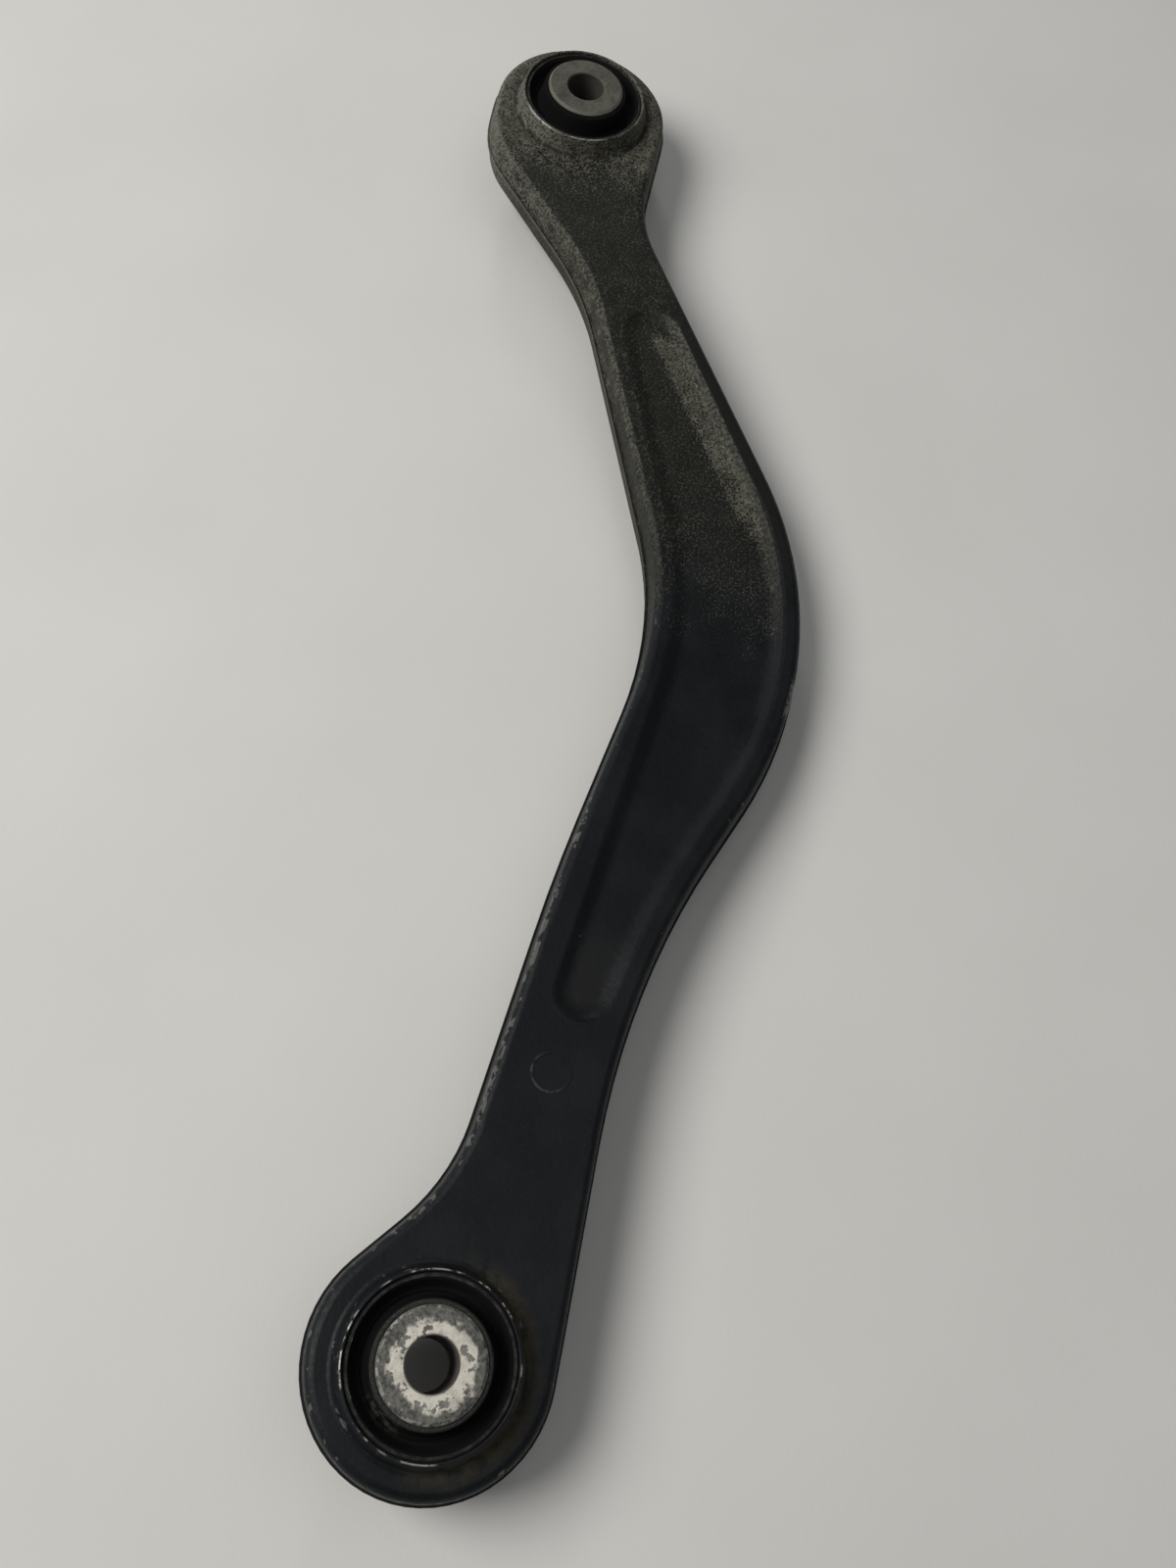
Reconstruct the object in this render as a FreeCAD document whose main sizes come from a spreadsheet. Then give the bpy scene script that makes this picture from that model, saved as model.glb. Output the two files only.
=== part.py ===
import FreeCAD, Part
import math
import os
from collections import namedtuple

import Sketcher

# Forged control arm with a bonded rubber bush pressed into the eye at each end.
#
# Frame, in millimetres: the origin is the middle of the inboard bore, +X runs to the outboard
# bore, +Z runs along both bore axes and the arm bows towards -Y.  The forging is symmetric about
# the plane Z = 0, which is where its two dies met and where the flash line runs round its edge.

# A bend is a circle that the outline follows for a while.  Steel lies inside a SOLID bend and
# outside a HOLLOW one, and common tangents join each bend to the next.
SOLID = 1
HOLLOW = -1

DIMENSIONS = {
    # bores and the eyes round them
    "centre_distance": 400.0,
    "eye_radius": 29.7,
    "inboard_eye_x": 0.3,
    "inboard_eye_y": -0.4,
    "bore_radius": 20.0,
    "rim_half_height": 14.0,
    "rim_lip_radius": 20.7,
    "collar_root_radius": 24.8,
    "collar_fillet": 1.4,
    "rim_fillet": 0.3,
    # forged blade, half heights measured from the die plane
    "eye_half_height": 8.2,
    "waist_half_height": 9.2,
    "trim_allowance": 1.5,
    "draft_angle": 7.0,
    "edge_fillet": 2.4,
    "flash_width": 0.45,
    "flash_half_height": 0.7,
    # bends of the outline, walked anticlockwise from the inboard eye
    "instep_x": 31.4,
    "instep_y": -249.6,
    "instep_radius": 215.0,
    "bulge_x": 207.3,
    "bulge_y": 37.8,
    "bulge_radius": 121.5,
    "throat_x": 364.2,
    "throat_y": -73.5,
    "throat_radius": 47.7,
    "shoulder_x": 391.7,
    "shoulder_y": -2.7,
    "shoulder_radius": 33.0,
    "shank_x": 282.0,
    "shank_y": 87.0,
    "shank_radius": 104.0,
    "crook_x": 208.0,
    "crook_y": 77.0,
    "crook_radius": 114.5,
    "flank_x": -12.2,
    "flank_y": -561.5,
    "flank_radius": 560.0,
    "heel_x": 67.6,
    "heel_y": 46.4,
    "heel_radius": 51.0,
    # shallow recess along both faces: margin and ends of its floor, slope of its walls from upright
    "recess_margin": 10.0,
    "recess_depth": 2.0,
    "recess_slope": 63.0,
    "recess_fillet": 6.0,
    "recess_heel_x": 91.5,
    "recess_heel_y": -27.8,
    "recess_heel_radius": 4.6,
    "recess_toe_x": 308.5,
    "recess_toe_y": -31.0,
    "recess_toe_radius": 6.2,
    # raised round die mark on the +Z face
    "mark_x": 69.7,
    "mark_y": -21.2,
    "mark_radius": 5.3,
    "mark_width": 0.6,
    "mark_height": 9.0,
    # bushes
    "shell_wall": 1.2,
    "shell_half_length": 13.3,
    "shell_chamfer": 0.5,
    "tube_radius": 12.7,
    "tube_half_length": 17.5,
    "tube_chamfer": 0.8,
    "bolt_hole_radius": 6.15,
    "bolt_hole_chamfer": 0.4,
    "bond_gap": 0.03,
    "rubber_lip_height": 16.3,
    "rubber_lip_width": 1.1,
    "rubber_edge_height": 13.0,
    "groove_height": 10.4,
    "groove_inset": 1.2,
}


class Size:
    """A length known both as a number and as the formula that gives it on the sheet."""

    def __init__(self, value, formula):
        self.value = value
        self.formula = formula

    def __add__(self, other):
        return Size(self.value + other.value, "%s + %s" % (self.formula, other.formula))

    def __sub__(self, other):
        return Size(self.value - other.value, "%s - (%s)" % (self.formula, other.formula))

    def __neg__(self):
        return Size(-self.value, "-(%s)" % self.formula)


Bend = namedtuple("Bend", "x y radius turn")

ZERO = Size(0.0, "0")

# How far from a surface, in millimetres, an edge may lie and still count as being on it.
ON_SURFACE = 0.05


def size(alias):
    return Size(DIMENSIONS[alias], "Dimensions." + alias)


def make_sheet(doc):
    """Write every driving dimension into its own named cell."""
    sheet = doc.addObject("Spreadsheet::Sheet", "Dimensions")
    for row, (alias, value) in enumerate(DIMENSIONS.items(), start=1):
        sheet.set("A%d" % row, alias)
        sheet.set("B%d" % row, str(value))
        sheet.setAlias("B%d" % row, alias)
    doc.recompute()
    return sheet


def make_body(doc, label):
    body = doc.addObject("PartDesign::Body", label)
    body.Label = label
    return body


def origin_feature(body, role):
    return next(part for part in body.Origin.OriginFeatures if part.Role == role)


def new_sketch(body, name, plane="XY_Plane", height=None):
    """Add a sketch on one of the body's own planes, lifted by height along its normal."""
    sketch = body.newObject("Sketcher::SketchObject", name)
    sketch.AttachmentSupport = [(origin_feature(body, plane), "")]
    sketch.MapMode = "FlatFace"
    if height is not None:
        sketch.AttachmentOffset = FreeCAD.Placement(FreeCAD.Vector(0, 0, height.value), FreeCAD.Rotation())
        sketch.setExpression("AttachmentOffset.Base.z", height.formula)
    return sketch


def drive(sketch, kind, where, length):
    """Add a dimension to the sketch and bind it to the sheet."""
    index = sketch.addConstraint(Sketcher.Constraint(kind, *where, length.value))
    sketch.setExpression("Constraints[%d]" % index, length.formula)


def place_point(sketch, geometry, end, x, y):
    """Fix one point of the sketch; a coordinate of ZERO puts it on the axis itself."""
    if x is ZERO:
        sketch.addConstraint(Sketcher.Constraint("PointOnObject", geometry, end, -2))
    else:
        drive(sketch, "DistanceX", (-1, 1, geometry, end), x)
    if y is ZERO:
        sketch.addConstraint(Sketcher.Constraint("PointOnObject", geometry, end, -1))
    else:
        drive(sketch, "DistanceY", (-1, 1, geometry, end), y)


def draw_circle(sketch, x, y, radius):
    circle = Part.Circle(FreeCAD.Vector(x.value, y.value, 0), FreeCAD.Vector(0, 0, 1), radius.value)
    index = sketch.addGeometry(circle, False)
    place_point(sketch, index, 3, x, y)
    drive(sketch, "Radius", (index,), radius)


def draw_polygon(sketch, corners):
    """Draw a closed polygon whose corners are pairs of sizes."""
    points = [FreeCAD.Vector(x.value, y.value, 0) for x, y in corners]
    lines = []
    for start, end in zip(points, points[1:] + points[:1]):
        lines.append(sketch.addGeometry(Part.LineSegment(start, end), False))
    for line, following in zip(lines, lines[1:] + lines[:1]):
        sketch.addConstraint(Sketcher.Constraint("Coincident", line, 2, following, 1))
    for line, (x, y) in zip(lines, corners):
        place_point(sketch, line, 1, x, y)


def common_tangent(first, second):
    """Return the ends of the line that leaves the first bend and runs onto the second."""
    start = FreeCAD.Vector(first.x.value, first.y.value, 0)
    end = FreeCAD.Vector(second.x.value, second.y.value, 0)
    between = end - start
    swing = second.turn * second.radius.value - first.turn * first.radius.value
    heading = math.atan2(between.y, between.x) - math.asin(swing / between.Length)
    leftward = FreeCAD.Vector(-math.sin(heading), math.cos(heading), 0)
    leave = start - leftward * (first.turn * first.radius.value)
    arrive = end - leftward * (second.turn * second.radius.value)
    return leave, arrive


def draw_loop(sketch, bends):
    """Draw a closed outline, walked anticlockwise, of bends and their common tangents."""
    count = len(bends)
    tangents = [common_tangent(bends[i], bends[(i + 1) % count]) for i in range(count)]
    arcs = []
    for i, bend in enumerate(bends):
        centre = FreeCAD.Vector(bend.x.value, bend.y.value, 0)
        ends = [tangents[i - 1][1] - centre, tangents[i][0] - centre]
        if bend.turn == HOLLOW:
            ends.reverse()
        angles = [math.atan2(end.y, end.x) for end in ends]
        circle = Part.Circle(centre, FreeCAD.Vector(0, 0, 1), bend.radius.value)
        arcs.append(sketch.addGeometry(Part.ArcOfCircle(circle, angles[0], angles[1]), False))
    lines = [sketch.addGeometry(Part.LineSegment(leave, arrive), False) for leave, arrive in tangents]
    for i in range(count):
        following = (i + 1) % count
        leave_end = 2 if bends[i].turn == SOLID else 1
        arrive_end = 1 if bends[following].turn == SOLID else 2
        sketch.addConstraint(Sketcher.Constraint("Tangent", lines[i], 1, arcs[i], leave_end))
        sketch.addConstraint(Sketcher.Constraint("Tangent", lines[i], 2, arcs[following], arrive_end))
    for arc, bend in zip(arcs, bends):
        place_point(sketch, arc, 3, bend.x, bend.y)
        drive(sketch, "Radius", (arc,), bend.radius)


def named_bend(name, turn, inset=ZERO):
    """A bend of the outline, moved inwards by inset."""
    radius = size(name + "_radius")
    if inset is not ZERO:
        radius = radius - inset if turn == SOLID else radius + inset
    return Bend(size(name + "_x"), size(name + "_y"), radius, turn)


def eye_bend(x, y, inset=ZERO):
    radius = size("eye_radius")
    if inset is not ZERO:
        radius = radius - inset
    return Bend(x, y, radius, SOLID)


def arm_outline(inset=ZERO):
    return [
        eye_bend(size("inboard_eye_x"), size("inboard_eye_y"), inset),
        named_bend("instep", HOLLOW, inset),
        named_bend("bulge", SOLID, inset),
        named_bend("throat", HOLLOW, inset),
        eye_bend(size("centre_distance"), ZERO, inset),
        named_bend("shoulder", SOLID, inset),
        named_bend("shank", HOLLOW, inset),
        named_bend("crook", HOLLOW, inset),
        named_bend("flank", SOLID, inset),
        named_bend("heel", HOLLOW, inset),
    ]


def recess_outline():
    """The recess keeps an even margin along the arm and ends in two circles of its own."""
    margin = size("recess_margin")
    return [
        named_bend("recess_heel", SOLID),
        named_bend("instep", HOLLOW, margin),
        named_bend("bulge", SOLID, margin),
        named_bend("recess_toe", SOLID),
        named_bend("crook", HOLLOW, margin),
    ]


def add_pad(body, sketch, name, half_height, draft=None):
    """Grow the sketch both ways from the die plane, leaning inwards by the draft."""
    pad = body.newObject("PartDesign::Pad", name)
    pad.Profile = sketch
    pad.SideType = "Two sides"
    for length, taper in (("Length", "TaperAngle"), ("Length2", "TaperAngle2")):
        setattr(pad, length, half_height.value)
        pad.setExpression(length, half_height.formula)
        if draft is not None:
            setattr(pad, taper, -draft.value)
            pad.setExpression(taper, "-(%s)" % draft.formula)
    return pad


def add_through_pocket(body, sketch, name):
    pocket = body.newObject("PartDesign::Pocket", name)
    pocket.Profile = sketch
    pocket.SideType = "Symmetric"
    pocket.Type = "ThroughAll"
    return pocket


def add_revolution(body, sketch, name, axis):
    revolution = body.newObject("PartDesign::Revolution", name)
    revolution.Profile = sketch
    revolution.ReferenceAxis = axis
    revolution.Angle = 360.0
    return revolution


def add_fillet(doc, body, name, radius, wanted):
    """Round those edges of the body so far that the test picks out."""
    doc.recompute()
    base = body.Tip
    edges = ["Edge%d" % (i + 1) for i, edge in enumerate(base.Shape.Edges) if wanted(edge)]
    fillet = body.newObject("PartDesign::Fillet", name)
    fillet.Base = (base, edges)
    fillet.Radius = radius.value
    fillet.setExpression("Radius", radius.formula)
    return fillet


def add_mirror(body, original, name):
    """Repeat a feature on the other side of the die plane."""
    mirror = body.newObject("PartDesign::Mirrored", name)
    mirror.Originals = [original]
    mirror.MirrorPlane = (origin_feature(body, "XY_Plane"), [""])
    body.Tip = mirror
    return mirror


def cut_crown(body):
    """Trim both faces to a long arch, so the blade is thickest at mid-span."""
    half_span = size("centre_distance").value / 2
    crown = size("waist_half_height").value
    rise = crown - size("eye_half_height").value
    arch_radius = (half_span ** 2 + rise ** 2) / (2 * rise)
    overhang = half_span + 2 * size("eye_radius").value
    low = crown - arch_radius + math.sqrt(arch_radius ** 2 - overhang ** 2)
    high = crown + 2 * size("trim_allowance").value
    sketch = new_sketch(body, "CrownSketch", "XZ_Plane")
    corners = [
        FreeCAD.Vector(half_span + overhang, low, 0),
        FreeCAD.Vector(half_span + overhang, high, 0),
        FreeCAD.Vector(half_span - overhang, high, 0),
        FreeCAD.Vector(half_span - overhang, low, 0),
    ]
    top = FreeCAD.Vector(half_span, crown, 0)
    sketch.addGeometry(Part.Arc(corners[3], top, corners[0]), False)
    for start, end in zip(corners, corners[1:]):
        sketch.addGeometry(Part.LineSegment(start, end), False)
    for geometry in range(len(corners)):
        sketch.addConstraint(Sketcher.Constraint("Block", geometry))
    return add_mirror(body, add_through_pocket(body, sketch, "Crown"), "CrownBothFaces")


def add_collar(body, name, x):
    """Raise the collar round one bore: a cone up to the lip at the rim, on both faces."""
    sketch = new_sketch(body, name + "CollarSketch", "XZ_Plane")
    core = size("bolt_hole_radius")
    rim = size("rim_half_height")
    lip = size("rim_lip_radius")
    root = size("collar_root_radius")
    offsets = ((core, rim), (lip, rim), (root, ZERO), (lip, -rim), (core, -rim))
    if x is ZERO:
        draw_polygon(sketch, offsets)
    else:
        draw_polygon(sketch, [(x + radius, height) for radius, height in offsets])
    foot = FreeCAD.Vector(x.value, -rim.value, 0)
    head = FreeCAD.Vector(x.value, rim.value, 0)
    axis = sketch.addGeometry(Part.LineSegment(foot, head), True)
    place_point(sketch, axis, 1, x, -rim)
    place_point(sketch, axis, 2, x, rim)
    return add_revolution(body, sketch, name + "Collar", (sketch, ["Axis0"]))


def bore_eyes(body):
    sketch = new_sketch(body, "BoreSketch")
    for x in (ZERO, size("centre_distance")):
        draw_circle(sketch, x, ZERO, size("bore_radius"))
    return add_through_pocket(body, sketch, "Bores")


def cut_recess(body):
    """Open the recess upwards from its floor with sloping walls, and repeat it below."""
    floor = size("waist_half_height") - size("recess_depth")
    reach = size("recess_depth") + size("trim_allowance")
    sketch = new_sketch(body, "RecessSketch", height=floor)
    draw_loop(sketch, recess_outline())
    pocket = body.newObject("PartDesign::Pocket", "Recess")
    pocket.Profile = sketch
    pocket.Reversed = True
    pocket.Length = reach.value
    pocket.setExpression("Length", reach.formula)
    pocket.TaperAngle = size("recess_slope").value
    pocket.setExpression("TaperAngle", size("recess_slope").formula)
    return add_mirror(body, pocket, "RecessBothFaces")


def raise_mark(body):
    """Raise the plain ring that a mark cut in the upper die leaves on the +Z face."""
    sketch = new_sketch(body, "MarkSketch")
    for radius in (size("mark_radius"), size("mark_radius") - size("mark_width")):
        draw_circle(sketch, size("mark_x"), size("mark_y"), radius)
    pad = body.newObject("PartDesign::Pad", "Mark")
    pad.Profile = sketch
    pad.Length = size("mark_height").value
    pad.setExpression("Length", size("mark_height").formula)
    return pad


def middle_of(edge):
    return edge.valueAt((edge.FirstParameter + edge.LastParameter) / 2)


def on_face_edge(edge):
    """True for every edge of the two crowned faces, which lie above the recess floor."""
    floor = size("waist_half_height").value - size("recess_depth").value
    return abs(middle_of(edge).z) > floor + ON_SURFACE


def on_recess_floor(edge):
    floor = size("waist_half_height").value - size("recess_depth").value
    ends = [vertex.Point.z for vertex in edge.Vertexes] + [middle_of(edge).z]
    return all(abs(abs(height) - floor) < ON_SURFACE for height in ends)


def on_collar_root(edge):
    """True for the ring where the cone of a collar meets a face."""
    middle = middle_of(edge)
    rim = size("rim_half_height").value
    lip = size("rim_lip_radius").value
    root = size("collar_root_radius").value
    cone_radius = lip + (root - lip) * (rim - abs(middle.z)) / rim
    reaches = [math.hypot(middle.x - x, middle.y) for x in (0.0, size("centre_distance").value)]
    on_cone = any(abs(reach - cone_radius) < ON_SURFACE for reach in reaches)
    above_flash = abs(middle.z) > 2 * size("flash_half_height").value
    return on_cone and above_flash and abs(middle.z) < size("waist_half_height").value


def on_rim(edge):
    """True for the inner and outer edges of the flat rim at the top of each collar."""
    return abs(abs(middle_of(edge).z) - size("rim_half_height").value) < ON_SURFACE


def make_forging(doc):
    """The forged arm: drafted blade, flash line, collars, bores, recesses and die mark."""
    body = make_body(doc, "arm_forging")
    outline = new_sketch(body, "OutlineSketch")
    draw_loop(outline, arm_outline())
    add_pad(body, outline, "Blade", size("waist_half_height") + size("trim_allowance"), size("draft_angle"))
    cut_crown(body)
    cut_recess(body)
    add_fillet(doc, body, "FaceRounds", size("edge_fillet"), on_face_edge)
    add_fillet(doc, body, "RecessRounds", size("recess_fillet"), on_recess_floor)
    flash = new_sketch(body, "FlashSketch")
    draw_loop(flash, arm_outline(-size("flash_width")))
    add_pad(body, flash, "FlashLine", size("flash_half_height"))
    add_collar(body, "Inboard", ZERO)
    add_collar(body, "Outboard", size("centre_distance"))
    add_fillet(doc, body, "CollarRounds", size("collar_fillet"), on_collar_root)
    bore_eyes(body)
    add_fillet(doc, body, "RimRounds", size("rim_fillet"), on_rim)
    raise_mark(body)
    return body


def make_turned(doc, label, x, corners):
    """A ring turned about the bore axis at x, from the corners of its half section."""
    body = make_body(doc, label)
    sketch = new_sketch(body, label + "_section", "XZ_Plane")
    draw_polygon(sketch, corners)
    add_revolution(body, sketch, label + "_turned", (sketch, ["V_Axis"]))
    if x is not ZERO:
        body.Placement = FreeCAD.Placement(FreeCAD.Vector(x.value, 0, 0), FreeCAD.Rotation())
        body.setExpression("Placement.Base.x", x.formula)
    return body


def both_ends(upper):
    """Complete a half section from its upper corners, walked outwards from the axis."""
    lower = [(radius, -height) for radius, height in reversed(upper)]
    return upper + lower


def make_outer_sleeve(doc, side, x):
    """The thin steel shell that is pressed into the eye."""
    outer = size("bore_radius")
    inner = outer - size("shell_wall")
    end = size("shell_half_length")
    chamfer = size("shell_chamfer")
    upper = [(inner, end), (outer - chamfer, end), (outer, end - chamfer)]
    return make_turned(doc, side + "_outer_sleeve", x, both_ends(upper))


def make_rubber(doc, side, x):
    """The bonded rubber ring, with a groove in each end and a lip up the inner sleeve."""
    inner = size("tube_radius") + size("bond_gap")
    outer = size("bore_radius") - size("shell_wall") - size("bond_gap")
    lip = inner + size("rubber_lip_width")
    inset = size("groove_inset")
    upper = [
        (inner, size("rubber_lip_height")),
        (lip, size("rubber_lip_height")),
        (lip + inset, size("groove_height")),
        (outer - inset, size("groove_height")),
        (outer, size("rubber_edge_height")),
    ]
    return make_turned(doc, side + "_rubber", x, both_ends(upper))


def make_inner_sleeve(doc, side, x):
    """The thick steel tube that the bolt clamps, with chamfered ends."""
    inner = size("bolt_hole_radius")
    outer = size("tube_radius")
    end = size("tube_half_length")
    hole_chamfer = size("bolt_hole_chamfer")
    chamfer = size("tube_chamfer")
    upper = [
        (inner, end - hole_chamfer),
        (inner + hole_chamfer, end),
        (outer - chamfer, end),
        (outer, end - chamfer),
    ]
    return make_turned(doc, side + "_inner_sleeve", x, both_ends(upper))


def make_bush(doc, side, x):
    return [make_outer_sleeve(doc, side, x), make_rubber(doc, side, x), make_inner_sleeve(doc, side, x)]


def check(doc, bodies):
    """Stop if any object failed or any sub-part is not one sound solid."""
    for item in doc.Objects:
        if "Invalid" in item.State or "Error" in item.State:
            raise RuntimeError("%s failed: %s" % (item.Name, item.State))
    for body in bodies:
        shape = body.Shape
        if shape.isNull() or not shape.isValid() or len(shape.Solids) != 1:
            raise RuntimeError("%s is not one sound solid" % body.Label)
        print("%-22s %10.1f mm3" % (body.Label, shape.Volume))


def main():
    doc = FreeCAD.newDocument("ControlArm")
    make_sheet(doc)
    bodies = [make_forging(doc)]
    bodies += make_bush(doc, "inboard", ZERO)
    bodies += make_bush(doc, "outboard", size("centre_distance"))
    doc.recompute()
    check(doc, bodies)
    os.makedirs("parts", exist_ok=True)
    for body in bodies:
        body.Shape.exportStep("parts/%s.step" % body.Label)


main()
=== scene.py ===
import math

import bpy
from mathutils import Matrix, Vector


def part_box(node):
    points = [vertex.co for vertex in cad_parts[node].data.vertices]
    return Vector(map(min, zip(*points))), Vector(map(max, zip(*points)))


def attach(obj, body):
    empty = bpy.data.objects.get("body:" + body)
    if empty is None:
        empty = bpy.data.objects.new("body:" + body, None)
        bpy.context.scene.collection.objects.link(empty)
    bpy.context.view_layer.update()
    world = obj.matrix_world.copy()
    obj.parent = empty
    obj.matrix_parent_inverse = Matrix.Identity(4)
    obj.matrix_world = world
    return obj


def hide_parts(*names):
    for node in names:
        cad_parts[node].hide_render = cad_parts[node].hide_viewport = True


# Looks for the forged control arm: a black dip-coated forging that has gathered road dust at its
# outboard end, with a rubber bush in each eye. The inboard sleeve is worn bright where it was
# clamped, and the outboard sleeve is dull with dust.
#
# Objects are in metres in the frame of the CAD. Inside materials and the rubber rings' sections,
# lengths are in millimetres, so that every grain, chip and stain can be read at its real size. The
# numbers given with coat.x, coat.y, coat.z or a radius are where a mark starts, is full and ends.

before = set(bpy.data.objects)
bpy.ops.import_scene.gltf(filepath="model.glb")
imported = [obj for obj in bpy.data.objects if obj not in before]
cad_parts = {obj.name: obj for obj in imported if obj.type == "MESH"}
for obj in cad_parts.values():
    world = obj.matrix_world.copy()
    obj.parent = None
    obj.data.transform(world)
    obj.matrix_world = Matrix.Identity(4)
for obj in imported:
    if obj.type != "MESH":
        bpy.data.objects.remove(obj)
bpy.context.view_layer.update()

MM = 0.001
BUSH_SIDES = ("inboard", "outboard")


def middle_of(node):
    """The middle of a node's box."""
    low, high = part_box(node)
    return (low + high) / 2


BUSH_CENTRES = {side: middle_of(side + "_inner_sleeve") for side in BUSH_SIDES}


# ---------------------------------------------------------------- materials: node shorthand


class Shader:
    """One material under construction. Its methods add nodes and return their output sockets."""

    # A Mix node has a pair of inputs and an output for each kind of value, all with the same names.
    FLOAT_SOCKETS = (2, 3, 0)
    COLOUR_SOCKETS = (6, 7, 2)

    def __init__(self, name):
        self.material = bpy.data.materials.new(name)
        self.material.use_nodes = True
        self.tree = self.material.node_tree
        self.tree.nodes.clear()
        self.coordinates = self.add("ShaderNodeTexCoord")
        scaled = self.add("ShaderNodeVectorMath", operation="SCALE")
        self.tree.links.new(self.coordinates.outputs["Object"], scaled.inputs[0])
        scaled.inputs["Scale"].default_value = 1 / MM
        self.place = scaled.outputs[0]
        self.x, self.y, self.z = self.split(self.place)
        self.normal_y, self.normal_z = self.split(self.coordinates.outputs["Normal"])[1:]

    def add(self, kind, **settings):
        """A new node with the given settings."""
        node = self.tree.nodes.new(kind)
        for key, value in settings.items():
            setattr(node, key, value)
        return node

    def feed(self, socket, value):
        """Link a socket, or set it to a plain number, triple or colour."""
        if isinstance(value, bpy.types.NodeSocket):
            self.tree.links.new(value, socket)
        elif isinstance(value, tuple) and socket.type == "RGBA":
            socket.default_value = (*value, 1.0)
        else:
            socket.default_value = value

    def split(self, vector):
        """The x, y and z of a vector."""
        node = self.add("ShaderNodeSeparateXYZ")
        self.feed(node.inputs[0], vector)
        return node.outputs[0], node.outputs[1], node.outputs[2]

    def math(self, operation, *values):
        """One sum on numbers or sockets, named as Blender's Math node names it."""
        node = self.add("ShaderNodeMath", operation=operation)
        for socket, value in zip(node.inputs, values):
            self.feed(socket, value)
        return node.outputs[0]

    def times(self, *values):
        """The product of all the values."""
        result = values[0]
        for value in values[1:]:
            result = self.math("MULTIPLY", result, value)
        return result

    def most(self, *values):
        """The greatest of the values."""
        result = values[0]
        for value in values[1:]:
            result = self.math("MAXIMUM", result, value)
        return result

    def plus(self, first, second):
        return self.math("ADD", first, second)

    def minus(self, first, second):
        return self.math("SUBTRACT", first, second)

    def outside(self, share):
        """1 where share is 0, and 0 where it is 1."""
        return self.minus(1.0, share)

    def levelness(self):
        """1 on a level face, 0 on an upright wall."""
        return self.math("ABSOLUTE", self.normal_z)

    def height(self):
        """Distance above or below the middle plane of the arm, in millimetres."""
        return self.math("ABSOLUTE", self.z)

    def step(self, value, low, high):
        """0 at low, 1 at high, smooth between; low may be above high."""
        node = self.add("ShaderNodeMapRange", interpolation_type="SMOOTHSTEP")
        self.feed(node.inputs["Value"], value)
        node.inputs["From Min"].default_value = min(low, high)
        node.inputs["From Max"].default_value = max(low, high)
        node.inputs["To Min"].default_value = 0.0 if low < high else 1.0
        node.inputs["To Max"].default_value = 1.0 if low < high else 0.0
        return node.outputs["Result"]

    def band(self, value, start, full, fade, end):
        """0 up to start, 1 from full to fade, and 0 again from end."""
        return self.times(self.step(value, start, full), self.step(value, end, fade))

    def stretch(self, value, low, high, start, end):
        """Carry value from the span low..high to the span start..end, in a straight line."""
        node = self.add("ShaderNodeMapRange")
        self.feed(node.inputs["Value"], value)
        for name, number in (("From Min", low), ("From Max", high), ("To Min", start), ("To Max", end)):
            node.inputs[name].default_value = number
        return node.outputs["Result"]

    def noise(self, size, detail=2.0, roughness=0.5, shift=0.0):
        """Cloudy noise from 0 to 1 whose blotches are about size millimetres across."""
        mapping = self.add("ShaderNodeMapping")
        self.feed(mapping.inputs["Vector"], self.place)
        mapping.inputs["Location"].default_value = (shift, shift * 0.7, shift * 1.3)
        node = self.add("ShaderNodeTexNoise")
        self.feed(node.inputs["Vector"], mapping.outputs[0])
        node.inputs["Scale"].default_value = 1 / size
        node.inputs["Detail"].default_value = detail
        node.inputs["Roughness"].default_value = roughness
        return node.outputs["Fac"]

    def drift(self, size, reach, detail=2.0, shift=0.0):
        """A slow wander on either side of 0, mostly within reach of it."""
        return self.stretch(self.noise(size, detail=detail, shift=shift), 0.3, 0.7, -reach, reach)

    def reach_from(self, x, y):
        """Distance from an upright line through x, y, in millimetres."""
        across = self.minus(self.x, x)
        along = self.minus(self.y, y)
        return self.math("SQRT", self.plus(self.times(across, across), self.times(along, along)))

    def radius_from(self, centre):
        """Distance from a bore axis, in millimetres."""
        return self.reach_from(centre.x / MM, centre.y / MM)

    def scatter(self, density, grain):
        """Separate specks, picked from noise, that crowd together as the density goes from 0 to 1."""
        bar = self.stretch(density, 0.0, 1.0, 0.76, 0.46)
        return self.step(self.minus(grain, bar), -0.03, 0.05)

    def near(self, value, centre, half_width):
        """1 where value is at centre, falling to 0 half_width away on either side."""
        away = self.math("ABSOLUTE", self.minus(value, centre))
        return self.step(away, half_width, half_width * 0.4)

    def between(self, kind, sockets, share, first, second):
        """The first value where share is 0, the second where it is 1."""
        input_a, input_b, result = sockets
        node = self.add("ShaderNodeMix", data_type=kind)
        self.feed(node.inputs["Factor"], share)
        self.feed(node.inputs[input_a], first)
        self.feed(node.inputs[input_b], second)
        return node.outputs[result]

    def mix(self, share, first, second):
        """Between two colours."""
        return self.between("RGBA", self.COLOUR_SOCKETS, share, first, second)

    def blend(self, share, first, second):
        """Between two numbers."""
        return self.between("FLOAT", self.FLOAT_SOCKETS, share, first, second)

    def bump(self, height, depth_mm, normal=None):
        """Dents of depth_mm where height goes from 1 to 0."""
        node = self.add("ShaderNodeBump")
        self.feed(node.inputs["Height"], height)
        node.inputs["Distance"].default_value = depth_mm * MM
        if normal is not None:
            self.feed(node.inputs["Normal"], normal)
        return node.outputs["Normal"]

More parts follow.
